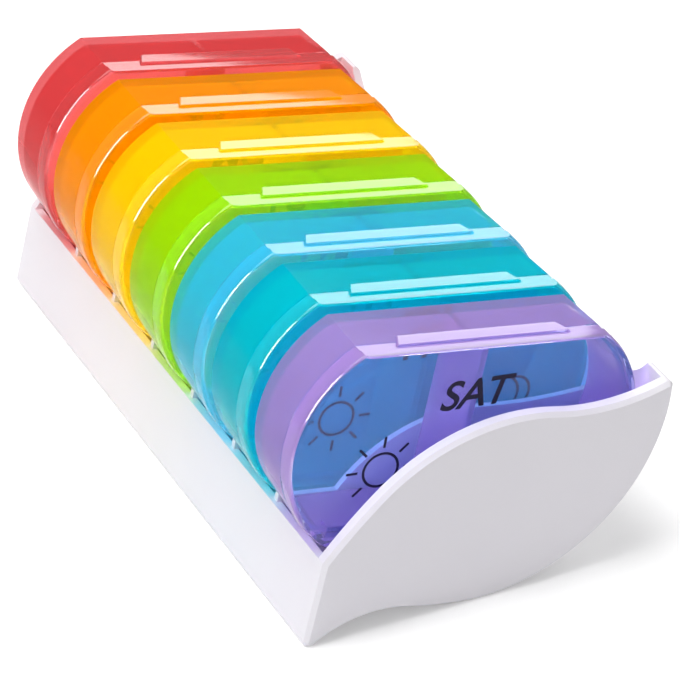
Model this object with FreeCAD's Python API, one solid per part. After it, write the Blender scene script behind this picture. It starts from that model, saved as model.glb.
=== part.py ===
"""Weekly pill organiser: seven clamshell day boxes standing in one wave-sided tray.

Each box has a body with a morning and an evening compartment, one front lid over both, and a
hinge pin along the bottom front edge.  The boxes stand like books between the tray's ribs.

Everything is built in the boxes' own upright frame, in millimetres: X to the right, Y to the back,
Z up, with y = 0 at the front box's lid and z = 0 at the seat on which the boxes stand.  At the end
the whole set leans to the right about Y and is set down on z = 0, the table that the tray rests on,
with the middle of its footprint at the origin.
"""
import FreeCAD, Part
import math
import os

from FreeCAD import Vector

# ---------------------------------------------------------------- driving dimensions, millimetres
days = ["sat", "fri", "thu", "wed", "tue", "mon", "sun"]    # from the front of the tray to the back
pitch = 25.24                   # from one box to the next along the tray
lean = 10.0                     # degrees that the boxes lean to the right
seat_height = 19.18             # from the table to the seat, at the boxes' middle line

# Outline of a box at the lid's rim: flat top and bottom joined by two round sides.
half_flat = 35.3                # half the length of the flat top
half_width = 50.0               # half the greatest width
half_height = 28.0              # half the height of the rim
box_depth = 22.0                # front of the lid to the back of the body
rim_step = 0.5                  # how far the rim stands out from the rest of the outline

# Lid: a flat front with a shallow skirt that laps over the body's lip.
lid_front = 1.6                 # thickness of the front
rim_depth = 3.2                 # front to the step behind the rim
lid_depth = 5.9                 # front to the skirt's rear edge
lid_wall = 1.4                  # rim outline to the inside of the skirt
tab_half = 23.0                 # half length of the thumb tab at its rear edge
tab_flare = 2.2                 # extra half length at the tab's front edge
tab_front = 3.0                 # front of the lid to the tab's front edge
tab_rear = 7.6                  # front of the lid to the tab's rear edge
tab_rise = 0.6                  # tab top above the rim
tab_gap = 0.35                  # under the tab, where it reaches back over the body
tab_bevel = 0.3                 # round the top of the tab

# Body: back wall, round side walls, one middle wall, and a thin lip inside the lid's skirt.
seam = 6.2                      # front of the lid to the body's front edge
lip_front = 3.4
lip_gap = 0.3                   # between lip and skirt
cavity_inset = 2.6              # rim outline to the inside of the compartments
back_wall = 1.8
middle_wall = 1.8
middle_wall_front = 2.1         # the middle wall stops just behind the lid's front
catch_half = 8.0                # the catch is a low ridge on the top of the lip
catch_rise = 0.2
catch_width = 1.2

# Hinge: two square lugs on the body, the lid's long knuckle between them, a pin through all three.
knuckle_radius = 1.7            # also half the height of the lugs
hinge_y = 6.0
lug_end = 33.0                  # from the middle to a lug's outer end
knuckle_half = 14.0             # half the length of the lid's knuckle
knuckle_gap = 0.3
pin_radius = 0.8
pin_clearance = 0.06
pin_half = 31.0
web_thickness = 1.4             # the arm from the lid's front to its knuckle
hinge_cut_top = 4.0             # the lip ends this far above the seat
skirt_cut_top = 2.6             # the skirt ends this far above the seat

# Tray: a thin wave-shaped skin with two end panels, ribs between the boxes and low seats.
skin = 2.4
panel = 3.6
panel_gap = 2.8                 # between the end panels and the outermost boxes
panel_bevel = 1.1               # bevel round the outside of the end panels
wall_top = (-38.0, -1.0)        # upper edge of the low left wall
wall_height = 23.3
wall_heading = -91.5            # the wall runs down with a little draft
foot_round = 1.8
tip_round = 1.6
side_top = 34.0                 # between the end panels the right wall is lower than their tips
side_sweep = 20.0               # radius of the curve from the wall's top up to each tip
rib = 1.6                       # wall between two boxes
seat_rib = 1.8                  # low wall under the middle of a box
seat_side_gap = 0.4             # between a seat's round part and the box
seat_left, seat_side_top = -31.0, 14.0
seat_slope = 5.0                # how far a seat falls towards the left wall

# Outlines across the tray as tangent arcs: radius, and turn in degrees (positive to the left).
belly_heading = 42.5            # on the underside, just past the foot
belly = [(31.4, -49.0), (106.9, 8.3), (52.2, 97.1)]
wave_heading = -153.5           # on top of the end panels, just past the tip
wave = [(57.4, -31.8), (53.5, 57.3)]
rib_start, rib_heading = (56.0, 26.5), -166.5
rib_wave = [(143.0, -15.5), (42.2, 62.2)]       # top of the ribs between the boxes
beyond = 80.0                   # reaches past a section wherever a cut has to clear it

# ---------------------------------------------------------------- sizes that follow
box_middle = half_height - rim_step             # height of the box's middle above the seat
side_centre = (half_width**2 - half_flat**2 - half_height**2) / (2 * (half_width - half_flat))
side_radius = half_width - side_centre
rim_top = box_middle + half_height
bore_radius = pin_radius + pin_clearance
lip_inset = lid_wall + lip_gap
last_back = pitch * (len(days) - 1) + box_depth     # back of the rearmost box
inner_front = -panel_gap                            # the end panels' inner faces
inner_back = last_back + panel_gap
tray_front = inner_front - panel
tray_back = inner_back + panel


def at(x, z, y=0.0):
    """Point of the cross-section that runs across the tray, at y along it."""
    return Vector(x, y, z)


def prism(edges, y_start, y_end):
    """Solid between two stations along the tray, from the closed edges drawn at y = 0."""
    face = Part.Face(Part.Wire(Part.sortEdges(edges)[0]))
    face.translate(Vector(0, y_start, 0))
    return face.extrude(Vector(0, y_end - y_start, 0))


def block(x_start, x_end, y_start, y_end, z_start, z_end):
    """Rectangular block between the two corners."""
    return Part.makeBox(x_end - x_start, y_end - y_start, z_end - z_start,
                        Vector(x_start, y_start, z_start))


def along_x(radius, x_start, x_end):
    """Cylinder on the hinge axis."""
    return Part.makeCylinder(radius, x_end - x_start,
                             Vector(x_start, hinge_y, knuckle_radius), Vector(1, 0, 0))


def segment(start, end):
    return Part.LineSegment(start, end).toShape()


def side_at(z, inset):
    """Half width, at height z, of the outline that lies inset mm inside the rim's."""
    return side_centre + math.sqrt((side_radius - inset)**2 - (z - box_middle)**2)


def box_prism(inset, y_start, y_end):
    """Slice of a box whose outline lies inset mm inside the rim's."""
    top, bottom = rim_top - inset, inset - rim_step
    corner = side_at(top, inset)
    side = side_centre + side_radius - inset
    edges = [
        segment(at(-corner, top), at(corner, top)),
        Part.Arc(at(corner, top), at(side, box_middle), at(corner, bottom)).toShape(),
        segment(at(corner, bottom), at(-corner, bottom)),
        Part.Arc(at(-corner, bottom), at(-side, box_middle), at(-corner, top)).toShape(),
    ]
    return prism(edges, y_start, y_end)


def edges_on_plane(shape, y):
    """Edges that lie wholly in the plane at y."""
    return [edge for edge in shape.Edges
            if abs(edge.BoundBox.YMin - y) < 1e-3 and abs(edge.BoundBox.YMax - y) < 1e-3]


def edges_at_height(shape, z):
    """Edges that lie wholly at height z."""
    return [edge for edge in shape.Edges
            if abs(edge.BoundBox.ZMin - z) < 1e-3 and abs(edge.BoundBox.ZMax - z) < 1e-3]


# ---------------------------------------------------------------- one day box
def thumb_tab():
    """Raised pad on the lid's top edge that reaches back over the body, with slanted ends."""
    front = tab_half + tab_flare
    bottom = rim_top - rim_step - lid_wall / 2
    corners = [Vector(-front, tab_front, bottom), Vector(front, tab_front, bottom),
               Vector(tab_half, tab_rear, bottom), Vector(-tab_half, tab_rear, bottom)]
    pad = Part.Face(Part.makePolygon(corners + corners[:1]))
    pad = pad.extrude(Vector(0, 0, rim_top + tab_rise - bottom))
    upper = [edge for edge in pad.Edges if edge.BoundBox.ZMin > rim_top]
    pad = pad.makeChamfer(tab_bevel, upper)
    under = block(-beyond, beyond, lid_depth, beyond, bottom - 1, rim_top - rim_step + tab_gap)
    return pad.cut(under)


def lid():
    """Front lid: rim, step, skirt, thumb tab, and a knuckle on a short arm."""
    rim = box_prism(0, 0, rim_depth)
    shell = rim.fuse(box_prism(rim_step, rim_depth, lid_depth))
    shell = shell.cut(box_prism(lid_wall, lid_front, lid_depth))
    shell = shell.cut(block(-beyond, beyond, rim_depth, beyond, -beyond, skirt_cut_top))
    knuckle = along_x(knuckle_radius, -knuckle_half, knuckle_half)
    arm = block(-knuckle_half, knuckle_half, lid_front / 2, hinge_y, 0, web_thickness)
    shell = shell.fuse([thumb_tab(), knuckle, arm]).removeSplitter()
    return shell.cut(along_x(bore_radius, -beyond, beyond))


def body():
    """Box body: round shell, lip, middle wall and hinge lugs."""
    shell = box_prism(rim_step, seam, box_depth)
    lip = box_prism(lip_inset, lip_front, seam + lip_gap)
    lip = lip.cut(block(-beyond, beyond, 0, seam, -beyond, hinge_cut_top))
    ridge_z = rim_top - lip_inset
    ridge_y = (lip_front + lid_depth) / 2
    ridge = Part.Face(Part.makePolygon([
        Vector(-catch_half, ridge_y - catch_width / 2, ridge_z),
        Vector(-catch_half, ridge_y, ridge_z + catch_rise),
        Vector(-catch_half, ridge_y + catch_width / 2, ridge_z),
        Vector(-catch_half, ridge_y - catch_width / 2, ridge_z)]))
    ridge = ridge.extrude(Vector(2 * catch_half, 0, 0))
    lugs = block(-lug_end, lug_end, hinge_y - knuckle_radius, hinge_y + knuckle_radius,
                 0, 2 * knuckle_radius)
    shell = shell.fuse([lip, ridge, lugs])
    inside = box_prism(cavity_inset, lip_front, box_depth - back_wall).cut(lugs)
    wall = box_prism(cavity_inset - lip_gap, middle_wall_front, box_depth - back_wall / 2)
    wall = wall.common(block(-middle_wall / 2, middle_wall / 2, 0, beyond, -beyond, beyond))
    wall = wall.cut(block(-beyond, beyond, 0, seam, -beyond, hinge_cut_top))
    shell = shell.cut(inside).fuse(wall)
    gap_half = knuckle_half + knuckle_gap
    gap_radius = knuckle_radius + knuckle_gap
    shell = shell.cut(along_x(gap_radius, -gap_half, gap_half))
    shell = shell.cut(block(-gap_half, gap_half, 0, hinge_y, -1, gap_radius))
    return shell.removeSplitter().cut(along_x(bore_radius, -beyond, beyond))


def hinge_pin():
    """Plain pin that sits in the body's lugs and carries the lid's knuckle."""
    return along_x(pin_radius, -pin_half, pin_half)


# ---------------------------------------------------------------- tray
def direction(degrees):
    return at(math.cos(math.radians(degrees)), math.sin(math.radians(degrees)))


def bend(start, heading, radius, turn):
    """Arc that leaves start along heading; also its end and the heading there."""
    side = math.copysign(90, turn)
    centre = start + direction(heading + side) * radius
    middle = centre - direction(heading + side + turn / 2) * radius
    end = centre - direction(heading + side + turn) * radius
    return Part.Arc(start, middle, end).toShape(), end, heading + turn


def track(start, heading, bends, inset=0.0):
    """Tangent arcs one after another, inset mm to the left of the line that bends describe."""
    edges = []
    end = start + direction(heading + 90) * inset
    for radius, turn in bends:
        edge, end, heading = bend(end, heading, radius - math.copysign(inset, turn), turn)
        edges.append(edge)
    return edges, end, heading


def bend_to(start, heading, end):
    """Arc that leaves start along heading and arrives at end."""
    chord = end - start
    turn = 2 * (math.degrees(math.atan2(chord.z, chord.x)) - heading)
    return bend(start, heading, chord.Length / 2 / abs(math.sin(math.radians(turn / 2))), turn)[0]


def closed(edges, corners):
    """The edges and the straight lines through the corners that close them."""
    return edges + [segment(one, two) for one, two in zip(corners, corners[1:])]


wall_foot = at(*wall_top) + direction(wall_heading) * wall_height
foot_turn = belly_heading - wall_heading
foot, belly_start, _ = bend(wall_foot, wall_heading, foot_round, foot_turn)


def room(thickness):
    """Space between the end panels and inside a skin of that thickness, open upwards."""
    edges, end, _ = track(belly_start, belly_heading, belly, thickness)
    start = belly_start + direction(belly_heading + 90) * thickness
    corners = [end, at(end.x, beyond), at(-beyond, beyond), at(-beyond, start.z), start]
    space = prism(closed(edges, corners), inner_front, inner_back)
    return space.common(block(wall_top[0] + thickness, beyond, inner_front, inner_back,
                              -beyond, beyond))


def end_profile():
    """Outline of the end panels: wall, foot, belly, tip and wave."""
    under, side_end, side_heading = track(belly_start, belly_heading, belly)
    nose, crest_start, _ = bend(side_end, side_heading, tip_round,
                                wave_heading + 360 - side_heading)
    crest, crest_end, crest_heading = track(crest_start, wave_heading, wave)
    fall = bend_to(crest_end, crest_heading, at(*wall_top))
    return [segment(at(*wall_top), wall_foot), foot] + under + [nose] + crest + [fall]


def box_rib(y_middle):
    """Wall between two neighbouring boxes, with a wave along its top."""
    crest, end, _ = track(at(*rib_start), rib_heading, rib_wave)
    corners = [end, at(-beyond, end.z), at(-beyond, -beyond), at(rib_start[0], -beyond),
               at(*rib_start)]
    return prism(closed(crest, corners), y_middle - rib / 2, y_middle + rib / 2)


def seat(y_middle):
    """Low wall that carries a box's flat bottom and catches its round right side."""
    side = [at(side_at(z, rim_step - seat_side_gap), z)
            for z in (0, seat_side_top / 2, seat_side_top)]
    corners = [side[-1], at(beyond, seat_side_top), at(beyond, -beyond), at(wall_top[0], -beyond),
               at(wall_top[0], -seat_slope), at(seat_left, 0), side[0]]
    edges = closed([Part.Arc(*side).toShape()], corners)
    return prism(edges, y_middle - seat_rib / 2, y_middle + seat_rib / 2)


def tray():
    """One white moulding that the seven boxes stand in."""
    shell = prism(end_profile(), tray_front, tray_back)
    outline = edges_on_plane(shell, tray_front) + edges_on_plane(shell, tray_back)
    shell = shell.makeChamfer(panel_bevel, outline).cut(room(skin))
    shell = shell.cut(block(-beyond, 0, inner_front, inner_back, wall_top[1], beyond))
    dip = block(0, beyond, inner_front + panel, inner_back - panel, side_top, beyond)
    dip = dip.makeFillet(side_sweep, [edge for edge in edges_at_height(dip, side_top)
                                      if edge.BoundBox.YLength < 1])
    shell = shell.cut(dip)
    ribs = [box_rib(pitch * place - (pitch - box_depth) / 2) for place in range(1, len(days))]
    seats = [seat(pitch * place + box_depth / 2) for place in range(len(days))]
    core = room(skin / 2)
    walls = [wall.common(core) for wall in ribs + seats]
    return shell.fuse(walls).removeSplitter()


# ---------------------------------------------------------------- the set, leaning on the table
def main():
    nodes = {"tray": tray()}
    for place, day in enumerate(days):
        for name, shape in (("box", body()), ("lid", lid()), ("hinge_pin", hinge_pin())):
            shape.translate(Vector(0, pitch * place, 0))
            nodes[name + "_" + day] = shape
    for shape in nodes.values():
        shape.rotate(Vector(), Vector(0, 1, 0), lean)
        shape.translate(Vector(0, 0, seat_height))
    # The tray's foot and belly are flattened where they meet the table.
    table = block(-2 * beyond, 2 * beyond, -beyond, tray_back + beyond, -beyond, 0)
    nodes["tray"] = nodes["tray"].cut(table)
    box = Part.makeCompound(list(nodes.values())).optimalBoundingBox(False)
    os.makedirs("parts", exist_ok=True)
    for name, shape in nodes.items():
        shape.translate(Vector(-box.Center.x, -box.Center.y, 0))
        shape.exportStep("parts/" + name + ".step")


main()
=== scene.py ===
"""Weekly pill organiser: seven tinted clamshell day boxes leaning in a white wave-sided tray."""
import math
import bmesh
import bpy
from mathutils import Matrix, Vector


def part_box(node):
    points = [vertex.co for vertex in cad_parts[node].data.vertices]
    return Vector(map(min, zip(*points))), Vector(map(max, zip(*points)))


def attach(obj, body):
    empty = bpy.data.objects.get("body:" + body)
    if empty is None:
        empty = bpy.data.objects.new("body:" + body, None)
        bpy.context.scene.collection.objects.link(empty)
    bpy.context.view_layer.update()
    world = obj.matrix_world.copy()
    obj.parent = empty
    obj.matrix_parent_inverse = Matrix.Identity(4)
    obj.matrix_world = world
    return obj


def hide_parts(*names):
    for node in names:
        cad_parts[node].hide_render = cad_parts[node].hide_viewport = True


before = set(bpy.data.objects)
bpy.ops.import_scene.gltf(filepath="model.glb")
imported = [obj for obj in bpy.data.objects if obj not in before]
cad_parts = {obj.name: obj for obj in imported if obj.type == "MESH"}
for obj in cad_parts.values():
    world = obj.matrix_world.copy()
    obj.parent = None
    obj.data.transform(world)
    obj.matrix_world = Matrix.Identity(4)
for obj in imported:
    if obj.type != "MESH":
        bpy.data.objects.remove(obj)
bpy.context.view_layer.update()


# ---------------------------------------------------------------- camera
# A long lens that looks down on the tray's front left corner.
# It stands a metre off, so that the boxes narrow only a little towards the back.
camera_place = (-0.3966, -0.7493, 0.5894)
camera_turn = (56.23, -2.02, -26.90)
camera_lens = 199.5

camera = bpy.data.objects.new("camera", bpy.data.cameras.new("camera"))
camera.data.lens = camera_lens
camera.data.clip_end = 20.0
camera.location = camera_place
camera.rotation_euler = [math.radians(degrees) for degrees in camera_turn]
bpy.context.scene.collection.objects.link(camera)
bpy.context.scene.camera = camera


# ---------------------------------------------------------------- studio
# A wide white sheet under the tray in a pale room.  Soft lamps stand above, on the left and in
# front; one behind on the right shines through the boxes, and a tall strip on the left draws
# the gleams along the lids' rims.
class Socket:
    """A shader socket that takes part in sums, and adds the nodes for them."""

    def __init__(self, tree, output=None):
        self.tree = tree
        self.output = output

    def node(self, kind, settings=None, inputs=None, output=0):
        """Adds a node of that type: settings first, then numbers or links for its sockets."""
        made = self.tree.nodes.new(kind)
        for name, value in (settings or {}).items():
            setattr(made, name, value)
        for key, value in (inputs or {}).items():
            if isinstance(value, Socket):
                self.tree.links.new(value.output, made.inputs[key])
            else:
                made.inputs[key].default_value = value
        return Socket(self.tree, made.outputs[output]) if made.outputs else made

    def feed(self, inlet):
        """Links this value into a socket of a node that is already there."""
        self.tree.links.new(self.output, inlet)

    def maths(self, operation, one, two):
        return self.node("ShaderNodeMath", {"operation": operation}, {0: one, 1: two})

    def __add__(self, other):
        return self.maths("ADD", self, other)

    def __mul__(self, other):
        return self.maths("MULTIPLY", self, other)

    __radd__ = __add__
    __rmul__ = __mul__


def new_material(name):
    """An empty material, its tree as a Socket with no output, and its Principled shader."""
    material = bpy.data.materials.new(name)
    material.use_nodes = True
    return material, Socket(material.node_tree), material.node_tree.nodes["Principled BSDF"]


floor_size = 6.0
near_glow, far_glow = 0.22, 0.62    # the sheet looks this much brighter than the lamps make it
glow_start, glow_end = 0.5, 2.6     # from the tray, where the glow starts and ends its rise

floor_mesh = bmesh.new()
bmesh.ops.create_grid(floor_mesh, x_segments=1, y_segments=1, size=floor_size / 2)
floor_data = bpy.data.meshes.new("floor")
floor_mesh.to_mesh(floor_data)
floor_mesh.free()
floor = bpy.data.objects.new("floor", floor_data)
bpy.context.scene.collection.objects.link(floor)

floor_material, floor_tree, floor_shader = new_material("pale_floor")
floor_data.materials.append(floor_material)
floor_shader.inputs["Base Color"].default_value = (0.9, 0.9, 0.9, 1.0)
floor_shader.inputs["Roughness"].default_value = 0.9
floor_shader.inputs["Specular IOR Level"].default_value = 0.0
floor_shader.inputs["Emission Strength"].default_value = 1.0
seen = floor_tree.node("ShaderNodeLightPath", output="Is Camera Ray")
through = floor_tree.node("ShaderNodeLightPath", output="Is Transmission Ray")
place = floor_tree.node("ShaderNodeTexCoord", output="Object")
away = floor_tree.node("ShaderNodeVectorMath", {"operation": "LENGTH"}, {0: place},
                       output="Value")
glow = floor_tree.node("ShaderNodeMapRange", {}, {
    "Value": away, "From Min": glow_start, "From Max": glow_end,
    "To Min": near_glow, "To Max": far_glow})
((seen + through) * glow).feed(floor_shader.inputs["Emission Color"])

world_light = 0.36                  # share of white with which the room lights the object
world = bpy.data.worlds.new("studio")
world.use_nodes = True
bpy.context.scene.world = world
room = Socket(world.node_tree)
seen = room.node("ShaderNodeLightPath", output="Is Camera Ray")
through = room.node("ShaderNodeLightPath", output="Is Transmission Ray")
sky = world.node_tree.nodes["Background"]
((seen + through) * (1.0 - world_light) + world_light).feed(sky.inputs["Strength"])
sky.inputs["Color"].default_value = (1.0, 1.0, 1.0, 1.0)

aim_height = 0.04                   # half the height of the organiser


def soft_lamp(name, place, width, height, power, only_gleams=False):
    """An area lamp that looks at the middle of the organiser."""
    lamp = bpy.data.lights.new(name, "AREA")
    lamp.shape = "RECTANGLE"
    lamp.size = width
    lamp.size_y = height
    lamp.energy = power
    holder = bpy.data.objects.new(name, lamp)
    holder.location = place
    aim = Vector((0, 0, aim_height)) - Vector(place)
    holder.rotation_euler = aim.to_track_quat("-Z", "Y").to_euler()
    holder.visible_diffuse = not only_gleams
    holder.visible_transmission = not only_gleams
    bpy.context.scene.collection.objects.link(holder)


soft_lamp("top_lamp", (-0.25, 0.10, 1.2), 0.8, 0.8, 12.0)
soft_lamp("left_lamp", (-1.05, -0.15, 0.45), 0.45, 0.45, 2.2)
soft_lamp("gleam_lamp", (-1.0, -0.27, 0.62), 0.35, 0.9, 48.0, only_gleams=True)
soft_lamp("front_lamp", (-0.3, -1.1, 0.6), 0.5, 0.5, 1.5)
soft_lamp("back_lamp", (0.62, 0.81, 0.66), 0.36, 0.36, 1.8)

# Light crosses many thin walls before it leaves the boxes.
bpy.context.scene.cycles.max_bounces = 40
bpy.context.scene.cycles.transmission_bounces = 40
bpy.context.scene.cycles.transparent_max_bounces = 64


# ---------------------------------------------------------------- white tray
# One white injection moulding with a soft gloss.  Its edges are rounded all round, and the
# mould has left the faintest unevenness in its gloss.
sharpest = math.radians(28.0)   # a corner turns at least this much
longest_facet = 0.01            # of a round side; a flat is longer
flat_turn = math.radians(0.3)   # faces that turn less than this are one flat
same_place, same_front = 1e-6, 1e-5


def rounded_copy(node, rounding, front_rounding=0.0):
    """A copy of a CAD node with its corners rounded, showing in its place.

    Where front_rounding is given, the round parts of its front outline are rounded first.
    """
    shape = bmesh.new()
    shape.from_mesh(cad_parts[node].data)
    bmesh.ops.remove_doubles(shape, verts=shape.verts, dist=same_place)
    bmesh.ops.dissolve_limit(shape, angle_limit=flat_turn, verts=shape.verts,
                             edges=shape.edges)
    front = min(vertex.co.y for vertex in shape.verts)
    rim = [edge for edge in shape.edges
           if front_rounding and len(edge.link_faces) == 2 and edge.is_convex
           and max(vertex.co.y for vertex in edge.verts) < front + same_front
           and edge.calc_length() < longest_facet and edge.calc_face_angle() > sharpest]
    bmesh.ops.bevel(shape, geom=rim, offset=front_rounding, segments=4, profile=0.5,
                    affect="EDGES", clamp_overlap=False, material=-1)
    corners = [edge for edge in shape.edges
               if len(edge.link_faces) == 2 and edge.calc_face_angle() > sharpest]
    bmesh.ops.bevel(shape, geom=corners, offset=rounding, segments=3, profile=0.5,
                    affect="EDGES", clamp_overlap=True, material=-1)
    for face in shape.faces:
        face.smooth = True
    data = bpy.data.meshes.new(node + "_shape")
    shape.to_mesh(data)
    shape.free()
    piece = bpy.data.objects.new(node + "_shape", data)
    bpy.context.scene.collection.objects.link(piece)
    even = piece.modifiers.new("even", "WEIGHTED_NORMAL")
    even.keep_sharp = True
    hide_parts(node)
    return piece


tray_rounding = 0.0007
tray_dark, tray_light = (0.78, 0.76, 0.81, 1), (0.82, 0.80, 0.84, 1)
tray_roughness, tray_roughness_drift = 0.26, 0.12
dark_input, light_input, mixed_output = 6, 7, 2     # a Mix node's colour sockets


def drifting(tree, share, dark, light):
    """A colour that goes from dark to light as share goes from 0 to 1."""
    return tree.node("ShaderNodeMix", {"data_type": "RGBA"},
                     {"Factor": share, dark_input: dark, light_input: light},
                     output=mixed_output)


tray_material, tray_tree, tray_shader = new_material("white_plastic")
place = tray_tree.node("ShaderNodeTexCoord", output="Object")
drift = tray_tree.node("ShaderNodeTexNoise", {}, {"Vector": place, "Scale": 22.0, "Detail": 3.0})
drifting(tray_tree, drift, tray_dark, tray_light).feed(tray_shader.inputs["Base Color"])
grain = tray_tree.node("ShaderNodeTexNoise", {}, {"Vector": place, "Scale": 900.0, "Detail": 2.0})
(grain * tray_roughness_drift + tray_roughness).feed(tray_shader.inputs["Roughness"])
tray_shader.inputs["Specular IOR Level"].default_value = 0.2
ripple = tray_tree.node("ShaderNodeBump", {}, {"Height": grain, "Strength": 0.05,
                                               "Distance": 0.0001})
ripple.feed(tray_shader.inputs["Normal"])

tray = rounded_copy("tray", tray_rounding)
tray.data.materials.append(tray_material)
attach(tray, "tray")


# ---------------------------------------------------------------- day boxes
# Tinted see-through plastic, one colour to a day: a moulded body with satin sides, a polished
# moulded lid that snaps over it, and a thin pin through the hinge along the bottom front edge.
# Their flat faces are clearer than the sides, which scatter more light.
# day: slot, tint of the clear faces, tint of the sides, haze of the clear faces
day_colours = {
    "sat": ("purple", (0.68, 0.73, 0.93), (0.46, 0.33, 0.62), 0.03),
    "fri": ("teal", (0.0, 0.74, 0.84), (0.0, 0.56, 0.62), 0.22),
    "thu": ("light_blue", (0.40, 0.80, 0.92), (0.06, 0.55, 0.71), 0.22),
    "wed": ("green", (0.62, 0.88, 0.08), (0.42, 0.69, 0.0), 0.22),
    "tue": ("yellow", (0.96, 0.84, 0.04), (0.82, 0.63, 0.0), 0.22),
    "mon": ("orange", (0.96, 0.66, 0.0), (0.80, 0.39, 0.0), 0.22),
    "sun": ("red", (0.90, 0.36, 0.38), (0.61, 0.08, 0.085), 0.22),
}
side_haze = 0.42                            # share of the light that the sides scatter back
polished, satin, frosted = 0.02, 0.06, 0.12   # roughness of lids, body sides and body faces
side_index, face_index, edge_index = 1.10, 1.24, 1.43   # of refraction; lid edges gleam most
grain_roughness = 0.05                      # added where the moulding is least polished
unevenness = 0.04                           # of the tint, up and down
draft = math.radians(3.0)                   # how far the moulded sides taper
steepest_face = 0.7                         # share of a normal along the tray that makes a face
body_rounding, lid_rounding, pin_rounding = 0.0004, 0.0004, 0.0001
rim_rounding = 0.0013                       # round parts of a lid's front outline
lid_taper_end, body_taper_start, body_taper_end = 0.0059, 0.0062, 0.022   # behind the lid's front


def tinted_plastic(name, tint, haze, roughness, index):
    """See-through plastic of one tint, a little uneven in tint and gloss."""
    material, tree, shader = new_material(name)
    place = tree.node("ShaderNodeTexCoord", output="Object")
    cloud = tree.node("ShaderNodeTexNoise", {}, {"Vector": place, "Scale": 40.0, "Detail": 3.0})
    light = tuple(min(1.0, channel * (1 + unevenness)) for channel in tint) + (1,)
    dark = tuple(channel * (1 - unevenness) for channel in tint) + (1,)
    drifting(tree, cloud, dark, light).feed(shader.inputs["Base Color"])
    grain = tree.node("ShaderNodeTexNoise", {}, {"Vector": place, "Scale": 600.0, "Detail": 2.0})
    (grain * grain_roughness + roughness).feed(shader.inputs["Roughness"])
    shader.inputs["IOR"].default_value = index
    shader.inputs["Transmission Weight"].default_value = 1.0 - haze
    clear = tree.node("ShaderNodeBsdfTransparent", {},
                      {"Color": tuple(math.sqrt(channel) for channel in tint) + (1,)})
    lamp_ray = tree.node("ShaderNodeLightPath", output="Is Shadow Ray")
    lit_through = tree.node("ShaderNodeMixShader", {},
                            {0: lamp_ray, 1: Socket(material.node_tree, shader.outputs[0]),
                             2: clear})
    lit_through.feed(material.node_tree.nodes["Material Output"].inputs["Surface"])
    return material


def taper(piece, start, end):
    """Draws a moulding in towards its middle line, from start to end along the tray."""
    low, high = (Vector(corner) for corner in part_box(piece.name.removesuffix("_shape")))
    middle = (low + high) / 2
    for vertex in piece.data.vertices:
        inward = middle - vertex.co
        inward.y = 0
        travel = min(max((vertex.co.y - start) / (end - start), 0), 1) * abs(end - start)
        vertex.co += inward.normalized() * travel * math.tan(draft)


for day, (slot, tint, deep_tint, clear_haze) in day_colours.items():
    window = tinted_plastic(slot + "_clear", tint, clear_haze, polished, face_index)
    wall = tinted_plastic(slot + "_frosted", tint, clear_haze, frosted, face_index)
    side = tinted_plastic(slot + "_satin", deep_tint, side_haze, satin, side_index)
    edge = tinted_plastic(slot + "_edge", deep_tint, side_haze, polished, edge_index)
    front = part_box("lid_" + day)[0][1]
    for node, carrier, rounding, front_rounding, across, around in (
            ("box_" + day, day + "_box", body_rounding, 0.0, wall, side),
            ("lid_" + day, day + "_lid", lid_rounding, rim_rounding, window, edge),
            ("hinge_pin_" + day, day + "_box", pin_rounding, 0.0, wall, side)):
        piece = rounded_copy(node, rounding, front_rounding)
        if node.startswith("lid"):
            taper(piece, front + lid_taper_end, front)
        else:
            taper(piece, front + body_taper_start, front + body_taper_end)
        piece.data.materials.append(across)
        piece.data.materials.append(around)
        for face in piece.data.polygons:
            face.material_index = abs(face.normal.y) < steepest_face
        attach(piece, carrier)


# ---------------------------------------------------------------- print on the lids
# Black ink, printed flat on the front of each lid: the day in the middle, a sun low on the
# morning side and a moon low on the evening side.
lean = math.radians(10.0)
seat_middle = (-0.008025, 0.01918)          # X and Z of the point that the boxes lean about
ink_depth = 0.00004
word_height = 0.0083                        # capital letters
word_slant = 0.22
word_weight, word_spacing = 0.013, 0.95     # outward growth and spacing of the letters
snug_pair, snug_kerning = "AT", -1.2        # two letters that lean under each other
word_side, word_foot = -0.0012, 0.0379      # from the lid's middle, and up from the seat
sun_side, moon_side = -0.0238, 0.0279       # from the lid's middle
sun_height = 0.0217                         # up from the seat
icon_radius = 0.0052
disc_corners = 48
moon_fold = 0.4                             # left of the disc's middle, share of its radius
stroke = 0.00072
ray_start, ray_end = 0.0065, 0.0097
ray_count = 8
ink_dark, ink_light = (0.006, 0.004, 0.02, 1), (0.02, 0.014, 0.045, 1)
ink_roughness, ink_roughness_drift = 0.3, 0.2
print_turn = math.radians(3.0)              # of the whole print on its lid
moon_height = sun_height + (moon_side - sun_side) * math.sin(print_turn)

ink_material, ink_tree, ink_shader = new_material("black_ink")
place = ink_tree.node("ShaderNodeTexCoord", output="Object")
speck = ink_tree.node("ShaderNodeTexNoise", {}, {"Vector": place, "Scale": 1500.0, "Detail": 2.0})
drifting(ink_tree, speck, ink_dark, ink_light).feed(ink_shader.inputs["Base Color"])
(speck * ink_roughness_drift + ink_roughness).feed(ink_shader.inputs["Roughness"])
ink_shader.inputs["Specular IOR Level"].default_value = 0.15


def thicken(shape, faces):
    """Gives flat faces the depth of the ink."""
    raised = bmesh.ops.extrude_face_region(shape, geom=faces, use_keep_orig=True)["geom"]
    bmesh.ops.translate(shape, vec=(0, 0, ink_depth),
                        verts=[part for part in raised if isinstance(part, bmesh.types.BMVert)])


def outline_of(shape, disc):
    """Keeps only a stroke along the inside of a flat face's edge."""
    rim = bmesh.ops.inset_region(shape, faces=disc, thickness=stroke, use_even_offset=True,
                                 use_boundary=True)["faces"]
    bmesh.ops.delete(shape, geom=disc, context="FACES_ONLY")
    return rim


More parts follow.
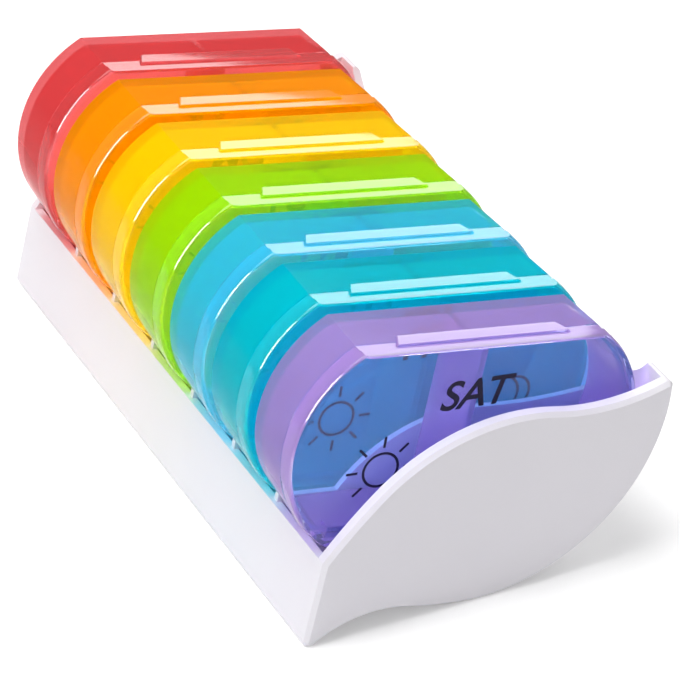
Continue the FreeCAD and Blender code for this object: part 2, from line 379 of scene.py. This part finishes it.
def printed_word(word):
    """A word as a thin mesh, upright in XY, with its foot's middle at the origin."""
    curve = bpy.data.curves.new("word", "FONT")
    curve.body = word
    curve.align_x = "CENTER"
    curve.shear = word_slant
    curve.offset = word_weight
    curve.space_character = word_spacing
    if snug_pair in word:
        curve.body_format[word.index(snug_pair)].kerning = snug_kerning
    curve.extrude = 1.0
    holder = bpy.data.objects.new("word", curve)
    bpy.context.scene.collection.objects.link(holder)
    bpy.context.view_layer.update()
    shape = bmesh.new()
    shape.from_mesh(bpy.data.meshes.new_from_object(
        holder.evaluated_get(bpy.context.evaluated_depsgraph_get())))
    bpy.data.objects.remove(holder)
    bmesh.ops.remove_doubles(shape, verts=shape.verts, dist=1e-5)
    scale = word_height / max(vertex.co.y for vertex in shape.verts)
    bmesh.ops.translate(shape, vec=(0, 0, 1), verts=shape.verts)
    bmesh.ops.scale(shape, vec=(scale, scale, ink_depth / 2), verts=shape.verts)
    return shape


def printed_sun():
    """A ring with short straight rays round it."""
    shape = bmesh.new()
    disc = bmesh.ops.create_circle(shape, cap_ends=True, segments=disc_corners,
                                   radius=icon_radius)["verts"]
    thicken(shape, outline_of(shape, [disc[0].link_faces[0]]))
    for ray in range(ray_count):
        turn = Matrix.Rotation(math.tau * ray / ray_count, 4, "Z")
        reach = Matrix.Translation(((ray_start + ray_end) / 2, 0, ink_depth / 2))
        size = Matrix.Diagonal((ray_end - ray_start, stroke, ink_depth, 1))
        bmesh.ops.create_cube(shape, size=1, matrix=turn @ reach @ size)
    return shape


def printed_moon():
    """A disc whose left part is folded back across a line, so that its outline is a crescent."""
    shape = bmesh.new()
    disc = bmesh.ops.create_circle(shape, cap_ends=True, segments=disc_corners,
                                   radius=icon_radius)["verts"]
    fold = -icon_radius * moon_fold
    for vertex in disc:
        vertex.co.x = max(vertex.co.x, 2 * fold - vertex.co.x)
    thicken(shape, outline_of(shape, [disc[0].link_faces[0]]))
    return shape


for day in day_colours:
    data = bpy.data.meshes.new("print_" + day)
    ink = bmesh.new()
    for shape, place in ((printed_word(day.upper()), (word_side, word_foot, 0)),
                         (printed_sun(), (sun_side, sun_height, 0)),
                         (printed_moon(), (moon_side, moon_height, 0))):
        bmesh.ops.rotate(shape, matrix=Matrix.Rotation(print_turn, 3, "Z"), verts=shape.verts)
        bmesh.ops.translate(shape, vec=place, verts=shape.verts)
        shape.to_mesh(data)
        ink.from_mesh(data)
        shape.free()
    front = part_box("lid_" + day)[0][1]
    upright = Matrix.Rotation(math.pi / 2, 4, "X")
    on_lid = (Matrix.Translation((seat_middle[0], front, seat_middle[1]))
              @ Matrix.Rotation(lean, 4, "Y") @ upright)
    bmesh.ops.transform(ink, matrix=on_lid, verts=ink.verts)
    bmesh.ops.recalc_face_normals(ink, faces=ink.faces)
    ink.to_mesh(data)
    ink.free()
    piece = bpy.data.objects.new("print_" + day, data)
    bpy.context.scene.collection.objects.link(piece)
    data.materials.append(ink_material)
    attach(piece, day + "_lid")


bpy.context.scene.view_settings.view_transform = "Standard"
